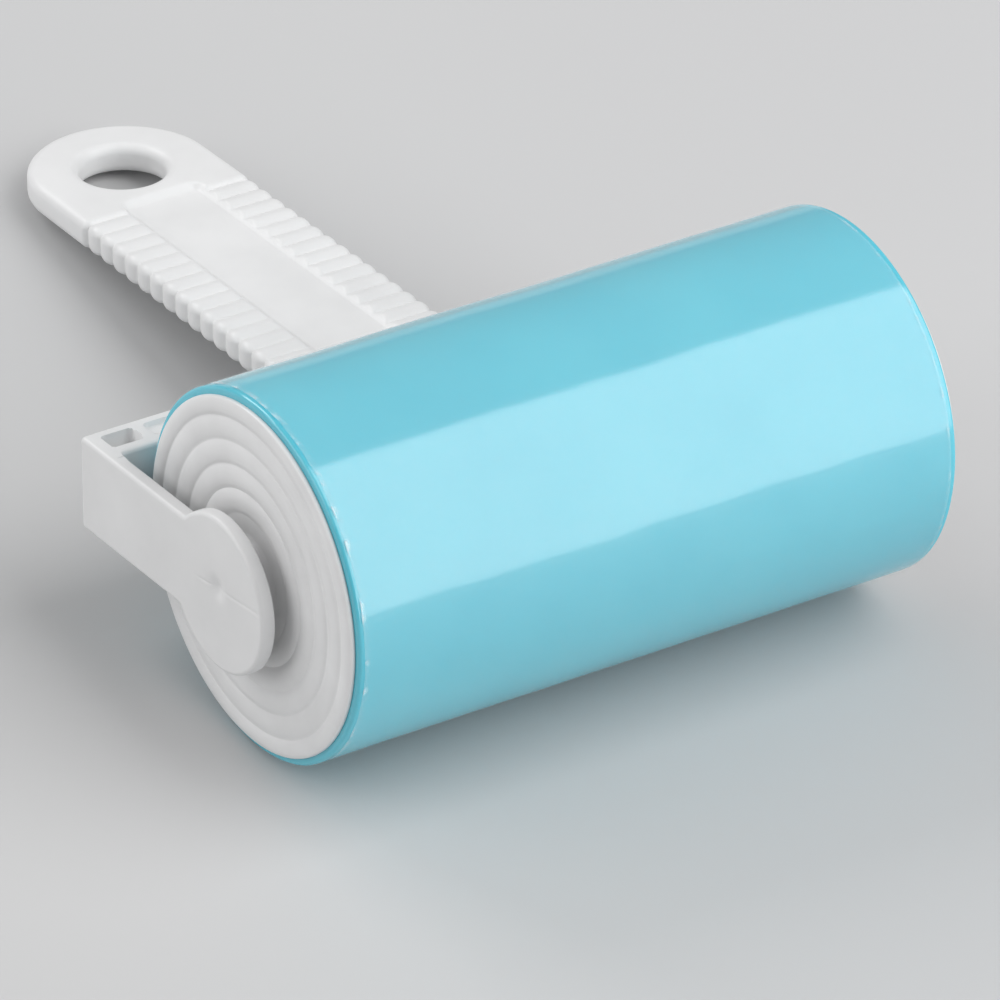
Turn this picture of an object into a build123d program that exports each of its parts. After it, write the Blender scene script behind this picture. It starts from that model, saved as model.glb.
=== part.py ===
"""Washable lint roller: a one-piece moulded handle and fork that carries a tacky gel roller.

Frame, in millimetres: +X points from the handle to the front of the roller, +Y lies along
the roller and +Z is up. The roller and the tip of the handle stand on Z = 0, and the origin
is the middle of the footprint.
"""

from build123d import *
from math import asin, atan2, cos, hypot, sin
import os

# ---------------------------------------------------------------- driving dimensions
# Roller, from the gel inwards
roller_length = 95.8  # gel and core tube, between the two end caps
roller_radius = 26.5  # outside of the film, which is what touches the floor
film_thickness = 0.2
film_inset = 0.6  # bare gel left at each end of the film
gel_thickness = 2.0
core_wall = 2.0

# End caps
cap_step = 1.15  # the flange is this much smaller in radius than the gel
flange_edge = 0.3  # straight edge of the flange, before its rounding
face_height = 0.45  # the grooves of the face stand this far outside the gel's end
cap_wall = 1.6
spigot_length = 8.0
spigot_wall = 1.6
spigot_fit = 0.05  # radial clearance of the spigot in the core tube
ripple_pitch = 3.35
ripple_height = 0.42
rim_width = 2.65  # outermost ring of the face
hub_wall = 2.5
hub_land = 1.0  # least plain ring between the innermost groove and the hub
hub_depth = 9.0
hub_end_gap = 0.4  # end play between the hub and the arm

# Pins and arms of the fork
pin_radius = 3.0
pin_fit = 0.05  # radial running clearance of the pin in the hub
pin_engagement = 6.0  # length of pin inside the hub's straight bore
pin_chamfer = 0.6
arm_gap = 3.3  # from the grooves of the cap's face to the arm
arm_thickness = 2.1
arm_height = 14.0
boss_radius = 11.4
boss_drop = 0.9  # the boss's centre below the pin's
arm_edge_round = 0.6

# Cross-bar of the fork
bar_gap = 1.5  # between the roller and the cross-bar
bar_depth = 7.0
bar_wall = 1.7
fork_corner_round = 0.6
inner_corner_round = 1.4
pocket_length = 5.0
pocket_depth = 4.0
pocket_rib = 1.6
recess_depth = 0.7
recess_end_round = 1.0

# Grip
grip_length = 91.7  # from the back of the cross-bar to the tip
grip_thickness = 4.5
grip_drop = 0.5  # top of the grip below the roller's axis, square to the grip
grip_root_half_width = 14.4
eye_outer_radius = 13.75
eye_radius = 6.3
eye_edge_round = 1.5
grip_edge_round = 1.3
root_flare = 2.6
rib_pitch = 3.43
rib_margin = 0.6  # least plain length between the last rib and the flare
rib_height = 0.55
rib_relief = 0.05  # the ribs' crests lie this far inside the plain surface round the eye
rib_start = 12.55  # from the eye's centre to the first rib
panel_half_width = 6.4
panel_depth = 0.85
panel_lead = 3.45  # from the first rib to the end of the recessed panel
panel_tail = 1.5  # from the last rib to the panel's other end
panel_end_round = 2.5
panel_draft = 40.0  # degrees, slope of the panel's border

# ---------------------------------------------------------------- worked-out sizes
gel_radius = roller_radius - film_thickness
core_radius = gel_radius - gel_thickness
core_bore = core_radius - core_wall
flange_radius = gel_radius - cap_step
spigot_radius = core_bore - spigot_fit
hub_bore = pin_radius + pin_fit
hub_radius = hub_bore + hub_wall

half_roller = roller_length / 2
arm_inner = half_roller + face_height + arm_gap
arm_outer = arm_inner + arm_thickness
hub_end = face_height + arm_gap - hub_end_gap  # outside the gel's end
pin_length = hub_end_gap + pin_engagement

bar_front = -(roller_radius + bar_gap)
bar_back = bar_front - bar_depth
grip_tip = bar_back - grip_length
eye_x = grip_tip + eye_outer_radius
rib_first = eye_x + rib_start
rib_count = int((bar_back - root_flare - rib_margin - rib_first) / rib_pitch)
rib_last = rib_first + rib_count * rib_pitch
panel_start = rib_first + panel_lead
panel_end = rib_last - panel_tail
grip_top = -grip_drop
grip_bottom = grip_top - grip_thickness

# The handle tilts until the rounded lower edge of its tip touches the floor.
tip_reach = -grip_tip - grip_edge_round
tip_drop = -grip_bottom - grip_edge_round
tilt = asin((roller_radius - grip_edge_round) / hypot(tip_reach, tip_drop)) - atan2(tip_drop, tip_reach)

# Back and front of the whole object, seen from the roller's axis
reach_back = (
    tip_reach * cos(tilt) - (grip_drop + grip_edge_round) * sin(tilt) + grip_edge_round
)
axis_x = (reach_back - roller_radius) / 2
axis_z = roller_radius

# ---------------------------------------------------------------- planes and axes
forward = Vector(cos(tilt), 0, sin(tilt))
upward = Vector(-sin(tilt), 0, cos(tilt))
axis_point = Vector(axis_x, 0, axis_z)
lay = Plane(origin=axis_point, x_dir=forward, z_dir=upward)  # the handle lies in this plane
side = Plane(origin=axis_point, x_dir=forward, z_dir=(0, -1, 0))  # the fork seen from its left
across = Plane(origin=axis_point, x_dir=(0, 1, 0), z_dir=(1, 0, 0))  # x along the roller, y outwards
roller_axis = Axis(axis_point, (0, 1, 0))
thickness_axis = Axis(axis_point, upward)
length_axis = Axis(axis_point, forward)
middle = Plane.XZ
tolerance = 1e-6  # for choosing edges by where they are

os.makedirs("parts", exist_ok=True)


def grip_half_width(x):
    """Half the grip's width: it narrows evenly from the cross-bar to the eye."""
    share = (x - eye_x) / (bar_back - root_flare - eye_x)
    return eye_outer_radius + share * (grip_root_half_width - eye_outer_radius)


def ribbed_outline(crest_at, other_at, clear):
    """Closed outline whose two long sides carry the ribs, one shallow arc for each.

    crest_at and other_at give the height of the two sides at a place x along the grip, and
    clear is how far the outline stands off the blank where there are no ribs.
    """
    stations = [rib_first + index * rib_pitch for index in range(rib_count + 1)]
    ends = (grip_tip - clear, bar_front + clear)
    for height_at, outwards in ((crest_at, 1), (other_at, -1)):
        valleys = [(x, height_at(x) - outwards * rib_height) for x in stations]
        for start, end in zip(valleys, valleys[1:]):
            x = (start[0] + end[0]) / 2
            ThreePointArc(start, (x, height_at(x) - outwards * rib_relief), end)
        for x, valley in ((ends[0], valleys[0]), (ends[1], valleys[-1])):
            lifted = height_at(valley[0]) + outwards * clear
            Polyline(valley, (valley[0], lifted), (x, lifted))
    for x, station in ((ends[0], stations[0]), (ends[1], stations[-1])):
        Line((x, crest_at(station) + clear), (x, other_at(station) - clear))


# ---------------------------------------------------------------- core tube
with BuildPart() as core_tube:
    with BuildSketch(across):
        with Locations((0, (core_radius + core_bore) / 2)):
            Rectangle(roller_length, core_wall)
    revolve(axis=roller_axis)

# ---------------------------------------------------------------- gel sleeve
with BuildPart() as gel_sleeve:
    with BuildSketch(across):
        with Locations((0, core_radius + gel_thickness / 2)):
            Rectangle(roller_length, gel_thickness)
    revolve(axis=roller_axis)

# ---------------------------------------------------------------- protective film
with BuildPart() as protective_film:
    with BuildSketch(across):
        with Locations((0, gel_radius + film_thickness / 2)):
            Rectangle(roller_length - 2 * film_inset, film_thickness)
    revolve(axis=roller_axis)

# ---------------------------------------------------------------- end caps
groove_radius = flange_radius - rim_width  # outermost groove
ripple_count = int((groove_radius - hub_radius - hub_land) / ripple_pitch)
groove_radii = [groove_radius - index * ripple_pitch for index in range(ripple_count + 1)]
face = half_roller + face_height  # the grooves lie in this plane
crest = face + ripple_height

with BuildPart() as right_end_cap:
    with BuildSketch(across):
        with BuildLine():
            Polyline(
                (face, hub_radius),
                (half_roller + hub_end, hub_radius),
                (half_roller + hub_end, hub_bore),
                (half_roller - hub_depth, hub_bore),
                (half_roller - hub_depth, hub_radius),
                (face - cap_wall, hub_radius),
                (face - cap_wall, spigot_radius - spigot_wall),
                (half_roller - spigot_length, spigot_radius - spigot_wall),
                (half_roller - spigot_length, spigot_radius),
                (half_roller, spigot_radius),
                (half_roller, flange_radius),
                (half_roller + flange_edge, flange_radius),
            )
            ThreePointArc(
                (half_roller + flange_edge, flange_radius),
                (crest, flange_radius - rim_width / 2),
                (face, groove_radii[0]),
            )
            for outer, inner in zip(groove_radii, groove_radii[1:]):
                ThreePointArc((face, outer), (crest, (outer + inner) / 2), (face, inner))
            Line((face, groove_radii[-1]), (face, hub_radius))
        make_face()
    revolve(axis=roller_axis)

with BuildPart() as left_end_cap:
    mirror(right_end_cap.part, about=middle)

# ---------------------------------------------------------------- grip, before it joins the fork
with BuildPart() as grip:
    # Flat blank with the eye's round end, flared where it runs into the cross-bar
    with BuildSketch(lay.offset(grip_top)):
        with BuildLine():
            for flank in (1, -1):
                eye_side = (eye_x, flank * eye_outer_radius)
                flare_start = (bar_back - root_flare, flank * grip_root_half_width)
                flare_end = (bar_back, flank * (grip_root_half_width + root_flare))
                Line(eye_side, flare_start)
                RadiusArc(flare_start, flare_end, -flank * root_flare)
                Polyline(flare_end, (bar_front, flare_end[1]), (bar_front, 0))
            ThreePointArc((eye_x, eye_outer_radius), (grip_tip, 0), (eye_x, -eye_outer_radius))
        make_face()
    extrude(amount=-grip_thickness)
    level_edges = grip.edges().filter_by(lambda edge: abs(edge.tangent_at(0.5).dot(upward)) < 0.5)
    rims = level_edges.filter_by(lambda edge: edge.center().X < axis_point.X + bar_back)
    fillet(rims, grip_edge_round)

    # Ribs: the blank is cut to one arc after another, over its faces and round its edges
    with BuildSketch(side):
        with BuildLine():
            ribbed_outline(lambda x: grip_top, lambda x: grip_bottom, clear=3)
        make_face()
    extrude(amount=2 * grip_root_half_width, both=True, mode=Mode.INTERSECT)
    with BuildSketch(lay):
        with BuildLine():
            ribbed_outline(grip_half_width, lambda x: -grip_half_width(x), clear=5)
        make_face()
    extrude(amount=2 * grip_thickness, both=True, mode=Mode.INTERSECT)

    # Plain land between the first ribs, from the hole's edge to the panel
    with BuildSketch(lay.offset(grip_top)):
        with Locations(((eye_x + panel_start) / 2 + panel_end_round, 0)):
            Rectangle(panel_start - eye_x, 2 * panel_half_width)
    extrude(amount=-grip_thickness)

    # Smooth recessed panel between the rows of ribs, on both faces
    for height, inwards in ((grip_top, -1), (grip_bottom, 1)):
        with BuildSketch(lay.offset(height)):
            with Locations(((panel_start + panel_end) / 2, 0)):
                RectangleRounded(panel_end - panel_start, 2 * panel_half_width, panel_end_round)
        extrude(amount=inwards * panel_depth, taper=panel_draft, mode=Mode.SUBTRACT)

    # Hanging hole
    with BuildSketch(lay.offset(grip_top)):
        with Locations((eye_x, 0)):
            Circle(eye_radius)
    extrude(amount=-grip_thickness, mode=Mode.SUBTRACT)
    circles = grip.edges().filter_by(GeomType.CIRCLE)
    fillet(circles.filter_by(lambda edge: abs(edge.radius - eye_radius) < tolerance), eye_edge_round)

# ---------------------------------------------------------------- bosses at the arms' ends
with BuildPart() as bosses:
    with BuildSketch(side.offset(arm_inner), side.offset(-arm_outer)):
        with Locations((0, -boss_drop)):
            Circle(boss_radius)
    extrude(amount=arm_thickness)
    circles = bosses.edges().filter_by(GeomType.CIRCLE)
    outer_rims = circles.filter_by(lambda edge: abs(abs(edge.center().Y) - arm_outer) < tolerance)
    fillet(outer_rims, arm_edge_round)

# ---------------------------------------------------------------- handle and fork, one moulding
with BuildPart() as handle_fork:
    # Cross-bar and arms
    with BuildSketch(lay.offset(-arm_height / 2)):
        with Locations((bar_back / 2, 0)):
            Rectangle(-bar_back, 2 * arm_outer)
        with Locations((bar_front / 2, 0)):
            Rectangle(-bar_front, 2 * arm_inner, mode=Mode.SUBTRACT)
    extrude(amount=arm_height)
    upright = handle_fork.edges().filter_by(thickness_axis)
    back_corners = upright.group_by(length_axis)[0]
    inner_corners = upright.filter_by(
        lambda edge: abs(lay.to_local_coords(edge.center()).X - bar_front) < tolerance
    )
    fillet(back_corners, fork_corner_round)
    fillet(inner_corners, inner_corner_round)
    flanks = handle_fork.faces().filter_by(Axis.Y).sort_by(Axis.Y)
    outlines = flanks[0].edges() + flanks[-1].edges()
    fillet(outlines.filter_by(length_axis), arm_edge_round)
    add(bosses.part)

    # Pins, one on the inside of each boss
    pin_end = arm_inner - pin_length
    with BuildSketch(side.offset(pin_end), side.offset(-arm_inner)):
        Circle(pin_radius)
    extrude(amount=pin_length)
    circles = handle_fork.edges().filter_by(GeomType.CIRCLE)
    chamfer(circles.filter_by(lambda edge: abs(abs(edge.center().Y) - pin_end) < tolerance), pin_chamfer)

    # The cross-bar is cored out from above and below: a pocket beside each arm, and a
    # shallow recess between the ribs that close the pockets
    trough_width = bar_depth - 2 * bar_wall
    recess_half = arm_inner - pocket_length - pocket_rib
    for height, inwards in ((arm_height / 2, -1), (-arm_height / 2, 1)):
        with BuildSketch(lay.offset(height)):
            with Locations(
                (bar_back + bar_wall + trough_width / 2, arm_inner - pocket_length / 2),
                (bar_back + bar_wall + trough_width / 2, -arm_inner + pocket_length / 2),
            ):
                RectangleRounded(trough_width, pocket_length, recess_end_round)
        extrude(amount=inwards * pocket_depth, mode=Mode.SUBTRACT)
        with BuildSketch(lay.offset(height)):
            with Locations((bar_back + bar_wall + trough_width / 2, 0)):
                RectangleRounded(trough_width, 2 * recess_half, recess_end_round)
        extrude(amount=inwards * recess_depth, mode=Mode.SUBTRACT)

    add(grip.part)

# ---------------------------------------------------------------- named pieces
pieces = {
    "handle_fork": handle_fork,
    "core_tube": core_tube,
    "gel_sleeve": gel_sleeve,
    "protective_film": protective_film,
    "left_end_cap": left_end_cap,
    "right_end_cap": right_end_cap,
}
for name, piece in pieces.items():
    piece.part.label = name
    export_step(piece.part, f"parts/{name}.step")
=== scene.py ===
"""Looks of the washable lint roller: tacky gel roller, its end caps, and the one-piece handle and fork."""

import bmesh
import bpy
import numpy as np
from mathutils import Matrix, Quaternion, Vector


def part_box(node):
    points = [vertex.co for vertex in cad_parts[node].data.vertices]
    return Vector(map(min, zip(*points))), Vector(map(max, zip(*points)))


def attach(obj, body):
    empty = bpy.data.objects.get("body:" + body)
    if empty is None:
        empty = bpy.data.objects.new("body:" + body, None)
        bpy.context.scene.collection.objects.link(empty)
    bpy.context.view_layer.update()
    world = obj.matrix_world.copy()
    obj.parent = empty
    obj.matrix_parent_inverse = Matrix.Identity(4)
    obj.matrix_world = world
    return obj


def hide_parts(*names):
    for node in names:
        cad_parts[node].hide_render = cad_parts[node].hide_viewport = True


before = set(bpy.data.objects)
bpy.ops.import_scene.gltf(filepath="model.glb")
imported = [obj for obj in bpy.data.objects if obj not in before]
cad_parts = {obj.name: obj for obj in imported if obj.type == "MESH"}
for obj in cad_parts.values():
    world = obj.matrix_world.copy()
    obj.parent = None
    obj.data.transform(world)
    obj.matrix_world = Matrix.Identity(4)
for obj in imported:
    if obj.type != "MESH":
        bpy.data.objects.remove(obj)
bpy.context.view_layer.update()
mm = 0.001


# ---------------------------------------------------------------- core tube
# Grey plastic tube that the gel is cast round. It is closed in by the gel and the caps, so only
# its finish matters here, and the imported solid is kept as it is.
tube_low, tube_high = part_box("core_tube")
axis_x = (tube_low[0] + tube_high[0]) / 2 / mm
axis_z = (tube_low[2] + tube_high[2]) / 2 / mm
half_roller = (tube_high[1] - tube_low[1]) / 2 / mm


def finish_of(name, light, dark, patch_size, roughness, rough_spread, grain_size, grain_depth):
    """Material whose colour drifts between two tints, with uneven gloss and a fine surface grain.

    Patches of tint are patch_size across, the grain is grain_size across and grain_depth deep,
    all in millimetres, and every pattern is placed by Object coordinates.
    """
    material = bpy.data.materials.new(name)
    material.use_nodes = True
    nodes, links = material.node_tree.nodes, material.node_tree.links
    shader = nodes["Principled BSDF"]
    place = nodes.new("ShaderNodeTexCoord")

    patches = nodes.new("ShaderNodeTexNoise")
    patches.inputs["Scale"].default_value = 1 / (patch_size * mm)
    patches.inputs["Detail"].default_value = 4
    links.new(place.outputs["Object"], patches.inputs["Vector"])
    tints = nodes.new("ShaderNodeValToRGB")
    tints.color_ramp.elements[0].position = 0.32
    tints.color_ramp.elements[0].color = (*dark, 1)
    tints.color_ramp.elements[1].position = 0.68
    tints.color_ramp.elements[1].color = (*light, 1)
    links.new(patches.outputs["Fac"], tints.inputs["Fac"])
    links.new(tints.outputs["Color"], shader.inputs["Base Color"])

    gloss = nodes.new("ShaderNodeMapRange")
    gloss.inputs["To Min"].default_value = roughness - rough_spread
    gloss.inputs["To Max"].default_value = roughness + rough_spread
    links.new(patches.outputs["Fac"], gloss.inputs["Value"])
    links.new(gloss.outputs["Result"], shader.inputs["Roughness"])

    grain = nodes.new("ShaderNodeTexNoise")
    grain.inputs["Scale"].default_value = 1 / (grain_size * mm)
    grain.inputs["Detail"].default_value = 2
    links.new(place.outputs["Object"], grain.inputs["Vector"])
    bump = nodes.new("ShaderNodeBump")
    bump.inputs["Strength"].default_value = 1
    bump.inputs["Distance"].default_value = grain_depth * mm
    links.new(grain.outputs["Fac"], bump.inputs["Height"])
    links.new(bump.outputs["Normal"], shader.inputs["Normal"])
    return material


tube_plastic = finish_of(
    "core_plastic",
    light=(0.62, 0.63, 0.64),
    dark=(0.55, 0.56, 0.57),
    patch_size=9,
    roughness=0.5,
    rough_spread=0.05,
    grain_size=0.8,
    grain_depth=0.01,
)
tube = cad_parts["core_tube"]
tube.data.materials.clear()
tube.data.materials.append(tube_plastic)


# ---------------------------------------------------------------- gel sleeve
# Tacky polyurethane gel, 2 mm thick, cast round the tube. Its outside is very slightly uneven
# and the corners at its ends are rounded, as a soft casting's are.
gel_radius = 26.3
gel_thickness = 2.0
gel_edge_round = 0.5
gel_inner_round = 0.1
gel_waviness = 0.16  # how far the outside dips below its full radius
chance = np.random.default_rng(12)


def waves(across, along, count, shortest, longest):
    """Smooth unevenness from 0 to 1: the mean of a few sine waves in random directions.

    across and along are places on the surface in millimetres, and each wave's length lies
    between shortest and longest.
    """
    heading = chance.uniform(0, 2 * np.pi, count)
    number = 2 * np.pi / chance.uniform(shortest, longest, count)
    start = chance.uniform(0, 2 * np.pi, count)
    run = np.cos(heading) * across[..., None] + np.sin(heading) * along[..., None]
    return 0.5 + 0.5 * np.sin(number * run + start).mean(axis=-1)


def eased(outline, rounds, steps=7):
    """Closed outline with its corners made into arcs of the given radii.

    An arc touches both runs of its corner, so it starts radius / tan(half the angle) away from
    the corner, and its points go evenly round the centre on the corner's bisector.
    """
    corner = np.asarray(outline, float)
    radius = np.maximum(np.asarray(rounds, float), 1e-6)[:, None]
    back = np.roll(corner, 1, axis=0) - corner
    on = np.roll(corner, -1, axis=0) - corner
    back /= np.linalg.norm(back, axis=1)[:, None]
    on /= np.linalg.norm(on, axis=1)[:, None]
    half = np.arccos(np.clip((back * on).sum(axis=1), -1, 1))[:, None] / 2
    bisector = (back + on) / np.linalg.norm(back + on, axis=1)[:, None]
    centre = corner + bisector * radius / np.sin(half)
    first = corner + back * radius / np.tan(half) - centre
    last = corner + on * radius / np.tan(half) - centre
    sweep = np.pi - 2 * half
    share = np.linspace(0, 1, steps)[None, :, None]
    sweep, first, last = sweep[:, None], first[:, None], last[:, None]
    arcs = (np.sin((1 - share) * sweep) * first + np.sin(share * sweep) * last) / np.sin(sweep)
    return (centre[:, None] + arcs).reshape(-1, 2)


def spaced(outline, step):
    """The same closed outline with points added, so that no two are further apart than step."""
    closed = np.vstack((outline, outline[:1]))
    run = np.concatenate(([0], np.cumsum(np.linalg.norm(np.diff(closed, axis=0), axis=1))))
    places = np.union1d(run, np.arange(0, run[-1], step))[:-1]
    return np.stack((np.interp(places, run, closed[:, 0]), np.interp(places, run, closed[:, 1])), axis=1)


def turned(along, radius, angle):
    """Points round the roller's axis: along it, out from it by radius, and turned by angle.

    The radius times the angle's cosine goes forward, and the radius times its sine goes up.
    """
    x = axis_x + radius * np.cos(angle)
    z = axis_z + radius * np.sin(angle)
    return np.stack(np.broadcast_arrays(x, along, z), axis=-1)


def moulding(name, grids, material, sharp=40):
    """Mesh object from grids of points in millimetres; each cell of a grid becomes one face.

    A grid is (points, closed rows, closed columns). Points that meet are merged, so that grids
    join along their edges and a row at one place closes to a pole, and faces are turned outwards.
    """
    corners, faces, used = [], [], 0
    for points, rows_close, columns_close in grids:
        rows, columns = points.shape[:2]
        index = used + np.arange(rows * columns).reshape(rows, columns)
        if rows_close:
            index = np.vstack((index, index[:1]))
        if columns_close:
            index = np.hstack((index, index[:, :1]))
        cell = (index[:-1, :-1], index[1:, :-1], index[1:, 1:], index[:-1, 1:])
        faces.append(np.stack(cell, axis=-1).reshape(-1, 4))
        corners.append(points.reshape(-1, 3) * mm)
        used += rows * columns
    mesh = bpy.data.meshes.new(name)
    mesh.from_pydata(np.vstack(corners).tolist(), [], np.vstack(faces).tolist())
    shape = bmesh.new()
    shape.from_mesh(mesh)
    bmesh.ops.remove_doubles(shape, verts=shape.verts, dist=0.002 * mm)
    bmesh.ops.dissolve_degenerate(shape, edges=shape.edges, dist=0.001 * mm)
    bmesh.ops.recalc_face_normals(shape, faces=shape.faces)
    shape.to_mesh(mesh)
    shape.free()
    mesh.shade_smooth()
    mesh.set_sharp_from_angle(angle=np.radians(sharp))
    mesh.materials.append(material)
    piece = bpy.data.objects.new(name, mesh)
    bpy.context.collection.objects.link(piece)
    return piece


# Section of the sleeve, carried once round the axis
gel_section = eased(
    (
        (-half_roller, gel_radius - gel_thickness),
        (-half_roller, gel_radius),
        (half_roller, gel_radius),
        (half_roller, gel_radius - gel_thickness),
    ),
    (gel_inner_round, gel_edge_round, gel_edge_round, gel_inner_round),
)
gel_section = spaced(gel_section, step=1.2)
round_gel = np.linspace(0, 2 * np.pi, 240, endpoint=False)
gel_along = gel_section[:, 0, None] + 0 * round_gel
gel_out = gel_section[:, 1, None] + 0 * round_gel
gel_outside = gel_out > gel_radius - gel_edge_round
gel_uneven = waves(gel_radius * round_gel, gel_along, count=6, shortest=14, longest=45)
gel_out = gel_out - gel_waviness * gel_outside * gel_uneven
gel_colour = finish_of(
    "cyan_gel",
    light=(0.115, 0.55, 0.67),
    dark=(0.10, 0.515, 0.64),
    patch_size=25,
    roughness=0.13,
    rough_spread=0.02,
    grain_size=6,
    grain_depth=0.005,
)
gel_shader = gel_colour.node_tree.nodes["Principled BSDF"]
gel_shader.inputs["Specular IOR Level"].default_value = 0.85
gel_shader.inputs["Subsurface Weight"].default_value = 0.25
gel_shader.inputs["Subsurface Radius"].default_value = (0.25, 0.9, 1.0)
gel_shader.inputs["Subsurface Scale"].default_value = 0.0015
gel = moulding("gel", [(turned(gel_along, gel_out, round_gel), True, True)], gel_colour)
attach(gel, "roller")
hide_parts("gel_sleeve")


# ---------------------------------------------------------------- protective film
# Clear film wound once round the gel, its end lapped over its start. It stops just short of the
# gel's ends, where the cut edge is slightly ragged and lifts here and there. Painted glints whiten
# its cut edges.
film_inset = 0.6
film_start = np.radians(118)  # the lapped seam, high on the side of the handle
film_lap = np.radians(9)
film_inner_radius = 26.36
film_rise = 0.06  # the lap lies this much further out than the start
film_wall = 0.03
film_ragged = 0.5
film_lift = 0.05  # how far the cut edges stand off the gel
film_lift_width = 0.9
film_cover = 0.05  # how much of what lies under it the film hides
# width beside each cut over which the film is painted whiter, as painted glints
film_glint_width = 1.0
cut_share = 0.012  # the part of the film's length beside each cut that has closer rows

# Spiral sheet: each row runs once round and a lap further, from the left cut to the right one
film_turn = film_start + np.linspace(0, 2 * np.pi + film_lap, 420)[None, :]
near_cut = np.linspace(0, cut_share, 8)
between_cuts = np.linspace(cut_share, 1 - cut_share, 84)[1:-1]
film_share = np.concatenate((near_cut, between_cuts, 1 - near_cut[::-1]))[:, None]
film_cut = waves(gel_radius * film_turn, 0 * film_turn, count=24, shortest=0.8, longest=9)
film_cut = film_ragged * film_cut**3
film_left = -half_roller + film_inset + film_cut
film_right = half_roller - film_inset - film_ragged + film_cut
film_along = film_left + film_share * (film_right - film_left)
from_cut = np.minimum(film_along - film_left, film_right - film_along)
film_edge = np.clip(1 - from_cut / film_lift_width, 0, 1)
film_curl = waves(gel_radius * film_turn, film_along, count=16, shortest=1.5, longest=12)
film_out = film_inner_radius + film_rise * (film_turn - film_start) / (2 * np.pi + film_lap)
film_out = film_out + film_lift * film_edge**2 * film_curl**2
film_points = turned(film_along, film_out + film_wall / 2, film_turn)


def clear_film():
    """Clear film: nearly all of it shows what lies under it, and painted glints whiten its cut edges.

    The cover is film_cover, and towards a cut it rises by the product of how near the cut is and
    how strong a fine noise is there, so that only the noise's peaks glint: a painted highlight.
    """
    material = finish_of(
        "clear_film",
        light=(0.86, 0.97, 0.99),
        dark=(0.80, 0.95, 0.98),
        patch_size=12,
        roughness=0.10,
        rough_spread=0.02,
        grain_size=5,
        grain_depth=0.003,
    )
    nodes, links = material.node_tree.nodes, material.node_tree.links
    shader = nodes["Principled BSDF"]
    place = nodes.new("ShaderNodeTexCoord")
    apart = nodes.new("ShaderNodeSeparateXYZ")
    links.new(place.outputs["Object"], apart.inputs["Vector"])
    side = nodes.new("ShaderNodeMath")
    side.operation = "ABSOLUTE"
    links.new(apart.outputs["Y"], side.inputs[0])
    glints = nodes.new("ShaderNodeTexNoise")
    glints.inputs["Scale"].default_value = 450
    glints.inputs["Detail"].default_value = 3
    links.new(place.outputs["Object"], glints.inputs["Vector"])
    # Painted highlight: towards each cut, and only where the noise peaks, the film is made whiter and more
    # opaque, standing in for glints of light on its edges
    edge = nodes.new("ShaderNodeMapRange")
    edge.inputs["From Min"].default_value = (half_roller - film_inset - film_glint_width) * mm
    edge.inputs["From Max"].default_value = (half_roller - film_inset) * mm
    edge.inputs["To Max"].default_value = 0.6
    links.new(side.outputs["Value"], edge.inputs["Value"])
    sparse = nodes.new("ShaderNodeMapRange")
    sparse.inputs["From Min"].default_value = 0.5
    sparse.inputs["From Max"].default_value = 0.72
    sparse.inputs["To Min"].default_value = 0.08
    links.new(glints.outputs["Fac"], sparse.inputs["Value"])
    painted_glints = nodes.new("ShaderNodeMath")
    painted_glints.operation = "MULTIPLY"
    links.new(edge.outputs["Result"], painted_glints.inputs[0])
    links.new(sparse.outputs["Result"], painted_glints.inputs[1])
    cover = nodes.new("ShaderNodeMath")
    cover.operation = "ADD"
    cover.inputs[1].default_value = film_cover
    links.new(painted_glints.outputs["Value"], cover.inputs[0])
    links.new(cover.outputs["Value"], shader.inputs["Alpha"])
    return material


film = moulding("film", [(film_points, False, False)], clear_film())
film_thickness = film.modifiers.new("film_thickness", "SOLIDIFY")
film_thickness.thickness = film_wall * mm
film_thickness.offset = 0
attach(film, "roller")
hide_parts("protective_film")


# ---------------------------------------------------------------- end caps
# White polypropylene caps pushed into the tube. Each has a thin flange over the end of the tube
# and gel, soft rings on its face, and a hub in the middle that turns on the fork's pin.
flange_radius = 25.15
spigot_radius = 22.25
spigot_wall = 1.6
spigot_length = 8.0
cap_wall = 1.6
hub_bore = 3.05
hub_radius = 5.55
hub_depth = 9.0
hub_end = 3.35
face_height = 0.45
rim_width = 2.65
ring_pitch = 3.35
ring_height = 0.42
ring_count = 4
ring_fullness = 0.6  # power of the parabola over a ring
ring_row_step = 0.24
hub_foot_round = 0.8
cap_points_round = 280

groove_radius = flange_radius - rim_width
inner_groove = groove_radius - ring_count * ring_pitch


def ring_crest(radius):
    """Height of the face's rings: round crests that meet in sharp grooves.

    Between two grooves the height is a power of a parabola, whose top is halfway.
    """
    in_rim = radius > groove_radius
    width = np.where(in_rim, rim_width, ring_pitch)
    phase = np.where(in_rim, (radius - groove_radius) / width, (radius - inner_groove) / width % 1)
    crest = np.clip(1 - (2 * phase - 1) ** 2, 0, 1) ** ring_fullness
    return np.where(radius > inner_groove, ring_height * crest, 0)


# Section of a cap, carried once round the axis. Its face has closer rows, for the rings, which
# go in after the arc of the hub's foot: the section's fourth corner.
corner_points = 5
cap_section = eased(
    (
        (-hub_depth, hub_bore),
        (hub_end, hub_bore),
        (hub_end, hub_radius),
        (face_height, hub_radius),
        (face_height, flange_radius),
        (0, flange_radius),
        (0, spigot_radius),
        (-spigot_length, spigot_radius),
        (-spigot_length, spigot_radius - spigot_wall),
        (face_height - cap_wall, spigot_radius - spigot_wall),
        (face_height - cap_wall, hub_radius),
        (-hub_depth, hub_radius),
    ),
    (0.2, 0.3, 0.5, hub_foot_round, 0.2, 0.1, 0.3, 0.4, 0.2, 0.6, 0.6, 0.2),
    steps=corner_points,
)
face_radii = np.arange(hub_radius + hub_foot_round + 0.2, flange_radius - 0.2, ring_row_step)
face_rows = np.stack((0 * face_radii + face_height, face_radii), axis=1)
face_starts = 4 * corner_points
cap_section = np.vstack((cap_section[:face_starts], face_rows, cap_section[face_starts:]))
cap_section = spaced(cap_section, step=0.6)
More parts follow.
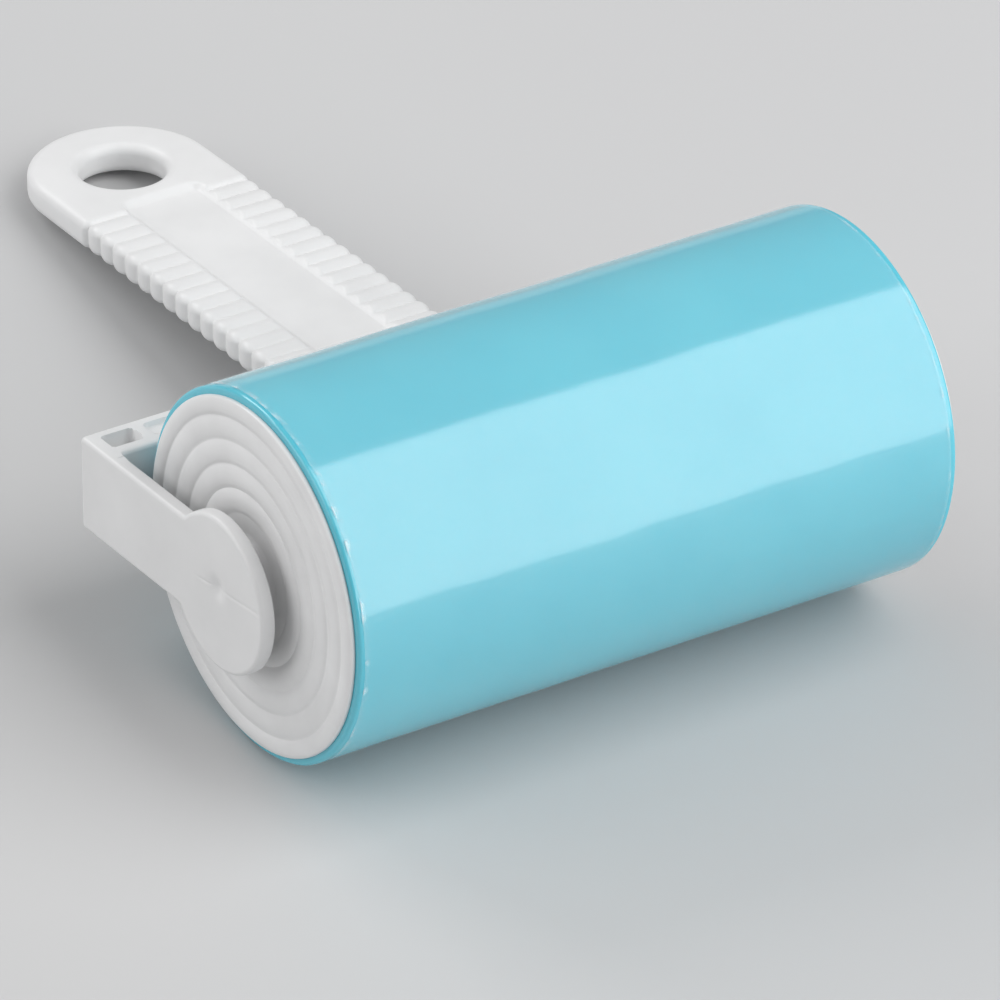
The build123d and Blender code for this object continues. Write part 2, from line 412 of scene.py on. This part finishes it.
cap_plastic = finish_of(
    "cap_plastic",
    light=(0.82, 0.82, 0.82),
    dark=(0.77, 0.77, 0.77),
    patch_size=7,
    roughness=0.32,
    rough_spread=0.05,
    grain_size=0.5,
    grain_depth=0.008,
)
round_cap = np.linspace(0, 2 * np.pi, cap_points_round, endpoint=False)
cap_out = cap_section[:, 1, None] + 0 * round_cap
on_face = (cap_section[:, 0, None] > face_height / 2) & (cap_out > hub_radius + hub_foot_round)
cap_along = cap_section[:, 0, None] + on_face * ring_crest(cap_out)
for name, hand in (("left_cap", -1), ("right_cap", 1)):
    cap_points = turned(hand * (half_roller + cap_along), cap_out, round_cap)
    cap = moulding(name, [(cap_points, True, True)], cap_plastic)
    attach(cap, "roller")
    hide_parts("left_end_cap" if hand < 0 else "right_end_cap")


# ---------------------------------------------------------------- grip
# The flat handle of the white moulding: a bar with a hanging eye at its end, half-round ribs
# along both margins that wrap round its edges, and a smooth sunken panel on each face.
tilt = np.radians(9.8978)  # the handle lies back until its tip touches the floor
bar_back = -35.0
grip_top = -0.5
grip_bottom = -5.0
grip_edge_round = 1.3
eye_x = -112.95
eye_outer_radius = 13.75
hole_radius = 6.3
hole_edge_round = 1.5
root_half_width = 14.4
root_flare = 2.6
join_x = -104.0  # where the grid round the eye meets the grid of the bar
rib_first = -100.4
rib_last = -38.65
rib_pitch = 3.43
rib_height = 0.55
rib_relief = 0.05
panel_start = -103.8
panel_end = -40.15
panel_half_width = 6.4
panel_border = 1.2
panel_lip = 2.0  # the panel starts with a longer, softer slope beside the eye
panel_depth = 0.85
panel_end_round = 2.5
rib_fullness = 0.85  # power of the parabola over a rib
rib_border = 1.1  # a rib's inner end rises over this width
rib_fade = 0.6  # and the valleys run out into the panel over this one
rib_run_in = 1.2
rib_run_out = 0.4
root_rise = 0.9  # rounding where the flat faces run up into the cross-bar
eye_rings = 26
flash_size = 0.28
flash_height = 0.8  # above the bottom face
flash_thickness = 0.25
white_plastic = finish_of(
    "white_plastic",
    light=(0.80, 0.80, 0.80),
    dark=(0.745, 0.745, 0.745),
    patch_size=14,
    roughness=0.40,
    rough_spread=0.05,
    grain_size=0.6,
    grain_depth=0.012,
)


def laid(points):
    """Points of the handle, along it, across it and through it, put in their real places.

    They turn by the handle's tilt about the roller's axis, which is their origin.
    """
    along, across, through = points[..., 0], points[..., 1], points[..., 2]
    x = axis_x + along * np.cos(tilt) - through * np.sin(tilt)
    z = axis_z + along * np.sin(tilt) + through * np.cos(tilt)
    return np.stack((x, across, z), axis=-1)


def smooth(share):
    """0 below 0, 1 above 1, and an S-shaped rise between them."""
    share = np.clip(share, 0, 1)
    return share * share * (3 - 2 * share)


def beyond_box(x, y, half_x, half_y, corner):
    """Distance outside a rectangle with round corners, and below 0 inside it."""
    over_x = np.abs(x) - half_x + corner
    over_y = np.abs(y) - half_y + corner
    outside = np.hypot(np.maximum(over_x, 0), np.maximum(over_y, 0))
    return outside + np.minimum(np.maximum(over_x, over_y), 0) - corner


def grip_relief(x, y):
    """How far the surface lies below the plain blank: the ribs' valleys, and the panel.

    A rib is a round crest from valley to valley, a power of a parabola. Its inner end rises as a
    quarter-round and stands on the border that slopes down to the panel.
    """
    side = np.abs(y)
    phase = (x - rib_first) / rib_pitch % 1
    crest = np.clip(1 - (2 * phase - 1) ** 2, 0, 1) ** rib_fullness
    past_border = np.clip((side - panel_half_width) / rib_border, 0, 1)
    inner_end = np.sqrt(np.clip(1 - (1 - past_border) ** 2, 0, 1))
    ribs = rib_relief + rib_height * (1 - crest * inner_end)
    ribs = ribs * smooth((x - rib_first + 1.0) / rib_run_in)
    ribs = ribs * smooth((rib_last + 0.3 - x) / rib_run_out)
    ribs = ribs * smooth((side - panel_half_width + rib_fade) / rib_fade)
    half_length = (panel_end - panel_start) / 2
    past = beyond_box(x - panel_start - half_length, y, half_length, panel_half_width, panel_end_round)
    panel = panel_depth * smooth(0.5 - past / panel_border) * smooth((x - panel_start) / panel_lip)
    return np.maximum(ribs, panel)


def grip_half_width(x):
    """Half the grip's width: evenly wider towards the cross-bar, then a flare into its back."""
    share = (x - eye_x) / (bar_back - root_flare - eye_x)
    width = eye_outer_radius + share * (root_half_width - eye_outer_radius)
    into_flare = np.clip(x - bar_back + root_flare, 0, root_flare)
    return width + root_flare - np.sqrt(root_flare**2 - into_flare**2)


quarter = np.linspace(0, np.pi / 2, 6)
edge_turn = np.concatenate((quarter, quarter[-1:] + 0 * quarter[:2], quarter + np.pi / 2))
wall_share = np.concatenate((0 * quarter, [1 / 3, 2 / 3], 0 * quarter + 1))


def edge_heights(radius):
    """Heights down a rounded edge: a quarter-round, a short wall and another quarter-round.

    A quarter-round falls by the radius times one less the turn's cosine.
    """
    wall = grip_top - grip_bottom - 2 * radius
    return grip_top - radius * (1 - np.cos(edge_turn)) - wall * wall_share


edge_out = grip_edge_round * np.sin(edge_turn)
edge_height = edge_heights(grip_edge_round)

# Bar: stations along it, and places across its flat faces that are closest at the ribs' ends
bar_stations = np.arange(join_x, bar_back + 0.6, 0.2)
flat_half = grip_half_width(bar_stations) - grip_edge_round
ends_from, ends_to = 4.4, 8.2
across_ends = np.arange(ends_from, ends_to, 0.22)
across_inner = np.concatenate((np.linspace(0, ends_from, 5)[:-1], across_ends))
across_ribs = ends_to + (flat_half[:, None] - ends_to) * np.linspace(0, 1, 9)[None, :]
across_inner = np.broadcast_to(across_inner, (len(bar_stations), len(across_inner)))
half_row = np.hstack((across_inner, across_ribs))
flat_row = np.hstack((-half_row[:, :0:-1], half_row))
bar_x = bar_stations[:, None] + 0 * flat_row
rise = root_rise - np.sqrt(root_rise**2 - np.clip(bar_x - bar_back + root_rise, 0, root_rise) ** 2)
flat_depth = grip_relief(bar_x, flat_row)
bar_top = np.stack((bar_x, flat_row, grip_top - flat_depth + rise), axis=-1)
bar_bottom = np.stack((bar_x, flat_row, grip_bottom + flat_depth - rise), axis=-1)


def edge_band(x, y, out_x, out_y, lift):
    """Rounded edge along a path: the side profile carried along it, sunk by the ribs' valleys.

    x, y is the inset edge's path, out_x, out_y the outward direction at each of its points.
    """
    depth = grip_relief(x, np.abs(y) + grip_edge_round)[:, None]
    out = edge_out - depth * np.sin(edge_turn)
    height = edge_height - (depth - lift[:, None]) * np.cos(edge_turn)
    return np.stack((x[:, None] + out * out_x[:, None], y[:, None] + out * out_y[:, None], height), axis=-1)


side_grids = []
for hand in (-1, 1):
    lift = rise[:, 0]
    band = edge_band(bar_stations, hand * flat_half, 0 * flat_half, hand + 0 * flat_half, lift)
    side_grids.append((laid(band), False, False))

# Eye: rays from the hole to the inset outline, which goes round the tip and across the join
tip_turn = np.linspace(-np.pi / 2, -3 * np.pi / 2, 90)[1:-1]
flank_x = np.arange(join_x, eye_x, -0.35)
flank_y = grip_half_width(flank_x) - grip_edge_round
inset_radius = eye_outer_radius - grip_edge_round
rim_x = np.concatenate((flank_x, [eye_x], eye_x + inset_radius * np.cos(tip_turn), [eye_x], flank_x[::-1]))
tip_y = inset_radius * np.sin(tip_turn)
rim_y = np.concatenate((-flank_y, [-inset_radius], tip_y, [inset_radius], flank_y[::-1]))
rim_out_x = np.concatenate((0 * flank_x, [0], np.cos(tip_turn), [0], 0 * flank_x))
rim_out_y = np.concatenate((0 * flank_x - 1, [-1], np.sin(tip_turn), [1], 0 * flank_x + 1))
side_grids.append((laid(edge_band(rim_x, rim_y, rim_out_x, rim_out_y, 0 * rim_x)), False, False))

ring_x = np.concatenate((rim_x, 0 * flat_row[0, 1:-1][::-1] + join_x))
ring_y = np.concatenate((rim_y, flat_row[0, 1:-1][::-1]))
ray = np.stack((ring_x - eye_x, ring_y), axis=-1)
ray /= np.linalg.norm(ray, axis=1)[:, None]
hole_rim = hole_radius + hole_edge_round
share = np.linspace(0, 1, eye_rings)[:, None]
eye_flat_x = (1 - share) * (eye_x + hole_rim * ray[:, 0]) + share * ring_x
eye_flat_y = (1 - share) * hole_rim * ray[:, 1] + share * ring_y
eye_depth = grip_relief(eye_flat_x, eye_flat_y)
eye_top = np.stack((eye_flat_x, eye_flat_y, grip_top - eye_depth), axis=-1)
eye_bottom = np.stack((eye_flat_x, eye_flat_y, grip_bottom + eye_depth), axis=-1)

# Hole: rounded at both faces, with a ragged flash of plastic on part of its lower edge
hole_heights = edge_heights(hole_edge_round)[:, None]
hole_out = hole_rim - hole_edge_round * np.sin(edge_turn)[:, None]
ray_turn = np.arctan2(ray[:, 1], ray[:, 0])
flash = waves(hole_radius * ray_turn, 0 * ray_turn, count=12, shortest=0.8, longest=5)
flash = flash_size * flash**2 * smooth(-np.cos(ray_turn + 0.6) * 1.5)
from_flash = (hole_heights - grip_bottom - flash_height) / flash_thickness
hole_out = hole_out - flash * np.exp(-(from_flash**2))
hole_depth = grip_relief(eye_x + hole_rim * ray[:, 0], hole_rim * ray[:, 1])
hole_points = np.stack(
    (
        eye_x + hole_out * ray[:, 0],
        hole_out * ray[:, 1],
        hole_heights - hole_depth * np.cos(edge_turn)[:, None],
    ),
    axis=-1,
)

# The bar's end, closed inside the cross-bar
end_loop = np.stack((bar_top[-1], bar_bottom[-1]))
grip_grids = [(laid(grid), False, False) for grid in (bar_top, bar_bottom, end_loop)]
grip_grids += [(laid(grid), False, True) for grid in (eye_top, eye_bottom, hole_points)]
grip = moulding("grip", grip_grids + side_grids, white_plastic)
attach(grip, "handle")
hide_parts("handle_fork")


# ---------------------------------------------------------------- cross-bar
# The part of the moulding that joins the arms, behind the roller. It is cored out from above and
# below: a pocket beside each arm and a shallow recess between their ribs.
bar_front = -28.0
bar_half_height = 7.0
arm_inner = 51.65
bar_edge_round = 0.7
bar_wall = 1.7
inner_corner_round = 1.4
pocket_length = 5.0
pocket_depth = 4.0
pocket_rib = 1.6
recess_depth = 0.7
recess_end_round = 1.0
pocket_draft = 0.3
front_blend = 1.5  # the inner corners' rounding fades out over this depth behind the front

# Loop round the bar's section, carried from arm to arm, and sunk where the bar is cored
bar_y = np.arange(-arm_inner, arm_inner + 0.25, 0.29)
bar_y = np.clip(bar_y, -arm_inner, arm_inner)[:, None]
to_corner = np.clip(np.abs(bar_y) - arm_inner + inner_corner_round, 0, inner_corner_round)
corner_out = inner_corner_round - np.sqrt(inner_corner_round**2 - to_corner**2)
bar_loop = spaced(
    eased(
        (
            (bar_back, bar_half_height),
            (bar_front, bar_half_height),
            (bar_front, -bar_half_height),
            (bar_back, -bar_half_height),
        ),
        (bar_edge_round, bar_edge_round, bar_edge_round, bar_edge_round),
    ),
    step=0.26,
)
loop_x, loop_z = bar_loop[:, 0][None, :], bar_loop[:, 1][None, :]
near_front = smooth((loop_x - bar_front + front_blend) / front_blend)
x_there = loop_x + corner_out * near_front
trough_x = (bar_back + bar_front) / 2
trough_half = (bar_front - bar_back) / 2 - bar_wall
pocket_y = arm_inner - pocket_length / 2
from_pocket = np.abs(bar_y) - pocket_y
in_pocket = beyond_box(x_there - trough_x, from_pocket, trough_half, pocket_length / 2, recess_end_round)
recess_half = arm_inner - pocket_length - pocket_rib
in_recess = beyond_box(x_there - trough_x, bar_y, trough_half, recess_half, recess_end_round)
cored = np.maximum(
    pocket_depth * smooth(-in_pocket / pocket_draft), recess_depth * smooth(-in_recess / pocket_draft)
)
z_there = loop_z - np.sign(loop_z) * cored * (np.abs(loop_z) > bar_half_height - 0.01)
bar_points = np.stack(np.broadcast_arrays(x_there, bar_y, z_there), axis=-1)
bar_end = np.stack((bar_points.mean(axis=1)[[0, -1]][:, None] + 0 * bar_points[[0, -1]], bar_points[[0, -1]]))
bar_grids = [(laid(bar_points), False, True)]
bar_grids += [(laid(bar_end[:, side]), False, True) for side in (0, 1)]
cross_bar = moulding("cross_bar", bar_grids, white_plastic)
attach(cross_bar, "handle")
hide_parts("handle_fork")


# ---------------------------------------------------------------- arms, bosses and pins
# Flat arms at both ends of the cross-bar, each with a round boss and, on its inside, the pin that
# the roller turns on. The boss has a sink mark over the pin and a knit line where the melt met.
arm_outer = 53.75
boss_radius = 11.4
boss_drop = 0.9  # the boss's centre below the pin's
neck_round = 1.2
end_corner_round = 0.8
arm_edge_round = 0.6
back_corner_round = 0.6
pin_radius = 3.0
pin_length = 6.4
pin_chamfer = 0.6
dimple_depth = 0.55
dimple_radius = 1.4
nick_depth = 0.35  # marks where the gates were broken off, under the arm and on its end
nick_along = -32.4
nick_half_width = 0.45
end_nick_depth = 0.25
end_nick_height = -1.5
end_nick_half_width = 0.5
knit_depth = 0.07
knit_half_width = 0.22
knit_slope = 0.09
knit_start = -6.0
inner_edge_round = 0.3
root_round = 0.3
boss_core = 5.0  # inside this radius the grid is round


def arc(centre, radius, start, end):
    """Points of an arc from one angle to another, in degrees: centre, plus radius in each direction."""
    turn = np.radians(np.linspace(start, end, 60))
    return np.stack((centre[0] + radius * np.cos(turn), centre[1] + radius * np.sin(turn)), axis=1)


def neck(side):
    """Small arc where the arm's edge runs into the boss: it touches the edge and the boss."""
    height = bar_half_height + neck_round + side * boss_drop
    back = np.sqrt((boss_radius + neck_round) ** 2 - height**2)
    towards_boss = np.degrees(np.arctan2(-side * height, back))
    return arc((-back, side * (bar_half_height + neck_round)), neck_round, side * -90, towards_boss)


# Outline of an arm and its boss, with points evenly spaced along it, and its outward directions
end_x = bar_back + end_corner_round
end_z = bar_half_height - end_corner_round
upper_neck, lower_neck = neck(1)[::-1], neck(-1)
boss_angles = [np.degrees(np.arctan2(end[1] + boss_drop, end[0])) for end in (lower_neck[-1], upper_neck[0])]
plate = np.vstack(
    (
        arc((end_x, end_z), end_corner_round, 90, 180),
        arc((end_x, -end_z), end_corner_round, 180, 270),
        lower_neck,
        arc((0, -boss_drop), boss_radius, boss_angles[0], boss_angles[1])[1:-1],
        upper_neck,
    )
)
plate = np.vstack((plate, plate[:1]))
run = np.concatenate(([0], np.cumsum(np.linalg.norm(np.diff(plate, axis=0), axis=1))))
places = np.linspace(0, run[-1], 521)[:-1]
plate = np.stack((np.interp(places, run, plate[:, 0]), np.interp(places, run, plate[:, 1])), axis=1)
along_edge = np.roll(plate, -1, axis=0) - np.roll(plate, 1, axis=0)
along_edge /= np.linalg.norm(along_edge, axis=1)[:, None]
outward = np.stack((along_edge[:, 1], -along_edge[:, 0]), axis=1)
under_nick = np.exp(-(((plate[:, 0] - nick_along) / nick_half_width) ** 2)) * (plate[:, 1] < 0)
end_nick = np.exp(-(((plate[:, 1] - end_nick_height) / end_nick_half_width) ** 2))
end_nick = end_nick * (plate[:, 0] < bar_back + 0.5)
nick = nick_depth * under_nick + end_nick_depth * end_nick
inner_round = inner_edge_round * smooth((plate[:, 0] - bar_front - 1) / 2)
around = plate / np.linalg.norm(plate, axis=1)[:, None]


def plate_ring(inset, height, nicked=0.0):
    """One ring of the arm's surface: the outline moved in by inset, at a height through the arm.

    nicked is how much of the gate's nicks the ring shows.
    """
    ring = plate - outward * (inset + nicked * nick)[:, None]
    return np.concatenate((ring, np.broadcast_to(height, nick.shape)[:, None]), axis=1)


def round_ring(radius, height):
    """One round ring about the pin's axis, at a height through the arm."""
    return np.concatenate((around * radius, 0 * around[:, :1] + height), axis=1)


def filled(first, last, count, crowded=False):
    """Rings between two others, spaced evenly or crowded towards the last."""
    share = np.linspace(0, 1, count + 1)[1:, None, None]
    if crowded:
        share = np.sin(share * np.pi / 2)
    return (1 - share) * first[None] + share * last[None]


# Rings of the flat faces and of the pin, and the rolls over the edges between them
outer_core = round_ring(boss_core, arm_outer)
outer_flat = plate_ring(arm_edge_round, arm_outer)
inner_flat = plate_ring(inner_round, arm_inner)
inner_core = round_ring(boss_core, arm_inner)
root = round_ring(pin_radius + root_round, arm_inner)
pin_foot = round_ring(pin_radius, arm_inner - root_round)
pin_shoulder = round_ring(pin_radius, arm_inner - pin_length + pin_chamfer)
pin_tip = round_ring(pin_radius - pin_chamfer, arm_inner - pin_length)
outer_rolls = [
    plate_ring(
        arm_edge_round * (1 - np.sin(turn)),
        arm_outer - arm_edge_round * (1 - np.cos(turn)),
        nicked=np.sin(turn) ** 2,
    )
    for turn in quarter[1:]
]
inner_rolls = [
    plate_ring(
        inner_round * (1 - np.cos(turn)),
        arm_inner + inner_round * (1 - np.sin(turn)),
        nicked=np.cos(turn),
    )
    for turn in quarter
]
# Rings from the middle of the outside, over the edge, to the inside and out to the pin's tip
arm_rings = np.concatenate(
    (
        round_ring(0, arm_outer)[None],
        filled(round_ring(0, arm_outer), outer_core, 16),
        filled(outer_core, outer_flat, 34, crowded=True),
        np.stack(outer_rolls),
        np.stack(inner_rolls),
        filled(inner_flat, inner_core, 12),
        filled(inner_core, root, 2),
        filled(root, pin_foot, 1),
        filled(pin_foot, pin_shoulder, 4),
        filled(pin_shoulder, pin_tip, 1),
        filled(pin_tip, round_ring(0, arm_inner - pin_length), 2),
    )
)
from_centre = np.linalg.norm(arm_rings[..., :2], axis=-1)
on_outside = arm_rings[..., 2] > arm_outer - 0.01
sink = dimple_depth * np.exp(-((from_centre / dimple_radius) ** 2))
from_knit = (arm_rings[..., 1] - knit_slope * arm_rings[..., 0]) / knit_half_width
knit = knit_depth * np.exp(-(from_knit**2))
knit = knit * smooth(from_centre - 1) * smooth((arm_rings[..., 0] - knit_start) / 3)
arm_rings[..., 2] -= on_outside * (sink + knit)
into_corner = np.clip(bar_back + back_corner_round - arm_rings[..., 0], 0, back_corner_round)
corner_drop = back_corner_round - np.sqrt(back_corner_round**2 - into_corner**2)
arm_rings[..., 2] -= np.clip(corner_drop, 0, arm_rings[..., 2] - arm_inner)
for name, hand in (("left_arm", -1), ("right_arm", 1)):
    arm_points = np.stack((arm_rings[..., 0], hand * arm_rings[..., 2], arm_rings[..., 1]), axis=-1)
    arm = moulding(name, [(laid(arm_points), False, True)], white_plastic)
    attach(arm, "handle")
    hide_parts("handle_fork")


# ---------------------------------------------------------------- floor
# Pale matt studio floor: one broad sheet of grey paper that the roller and the tip of the
# handle stand on.
floor_size = 6.0
floor_finish = finish_of(
    "floor_paper",
    light=(0.56, 0.56, 0.56),
    dark=(0.54, 0.54, 0.545),
    patch_size=300,
    roughness=0.75,
    rough_spread=0.05,
    grain_size=2,
    grain_depth=0.01,
)
floor_mesh = bpy.data.meshes.new("floor")
floor_corners = floor_size / 2 * np.array(((-1, -1, 0), (1, -1, 0), (1, 1, 0), (-1, 1, 0)))
floor_mesh.from_pydata(floor_corners.tolist(), [], [(0, 1, 2, 3)])
floor_mesh.materials.append(floor_finish)
floor = bpy.data.objects.new("floor", floor_mesh)
bpy.context.collection.objects.link(floor)


# ---------------------------------------------------------------- studio lights
# One tall softbox in front and overhead, whose reflection is the pale band along the roller, a
# softbox on the left for the arm and cap, one behind the handle that draws out its ribs, and a
# dim even surround.
roller_place = Vector((axis_x * mm, 0, axis_z * mm))


def softbox(name, towards, distance, shift, height, width, radiance):
    """Rectangular light whose middle lies towards a direction from the roller, facing it.

    shift moves it along the roller without turning it, and the power is that of a flat panel of
    the given radiance: pi times its area times the radiance.
    """
    light = bpy.data.lights.new(name, "AREA")
    light.shape = "RECTANGLE"
    light.size, light.size_y = width, height
    light.energy = np.pi * height * width * radiance
    lamp = bpy.data.objects.new(name, light)
    back = Vector(towards).normalized()
    sideways = Vector((0, 1, 0)) if abs(back.y) < 0.5 else Vector((1, 0, 0))
    upwards = back.cross(sideways).normalized()
    turn = Matrix((upwards.cross(back), upwards, back)).transposed().to_4x4()
    lamp.matrix_world = Matrix.Translation(roller_place + back * distance + Vector((0, shift, 0))) @ turn
    bpy.context.collection.objects.link(lamp)


front_rise = np.radians(47)
front = (np.cos(front_rise), 0, np.sin(front_rise))
softbox("front_softbox", front, distance=1.0, shift=0.72, height=2.1, width=1.25, radiance=2.9)
softbox("left_softbox", (-0.35, -1.0, 0.55), distance=1.3, shift=0, height=0.9, width=1.2, radiance=1.9)
softbox("handle_softbox", (-1.0, -0.35, 0.7), distance=1.4, shift=0, height=0.7, width=0.7, radiance=4.0)

world = bpy.data.worlds.new("surround")
world.use_nodes = True
world.node_tree.nodes["Background"].inputs["Color"].default_value = (0.97, 0.98, 1.0, 1)
world.node_tree.nodes["Background"].inputs["Strength"].default_value = 0.26
bpy.context.scene.world = world
bpy.context.scene.view_settings.view_transform = "Standard"


# ---------------------------------------------------------------- camera
# Long lens, above and in front of the roller's left end, and tipped slightly.
camera_azimuth = np.radians(53.18)
camera_elevation = np.radians(37.19)
camera_roll = np.radians(6.68)
camera_distance = 1.3062
camera_aim = roller_place + Vector((-11.84, 0, -11.56)) * mm
camera_back = Vector(
    (
        np.sin(camera_azimuth) * np.cos(camera_elevation),
        -np.cos(camera_azimuth) * np.cos(camera_elevation),
        np.sin(camera_elevation),
    )
)
lens = bpy.data.cameras.new("camera")
lens.lens = 344
lens.sensor_width = 36
lens.clip_end = 20
camera = bpy.data.objects.new("camera", lens)
camera.location = camera_aim + camera_back * camera_distance
camera.rotation_mode = "QUATERNION"
camera.rotation_quaternion = (-camera_back).to_track_quat("-Z", "Y") @ Quaternion((0, 0, 1), camera_roll)
bpy.context.collection.objects.link(camera)
bpy.context.scene.camera = camera
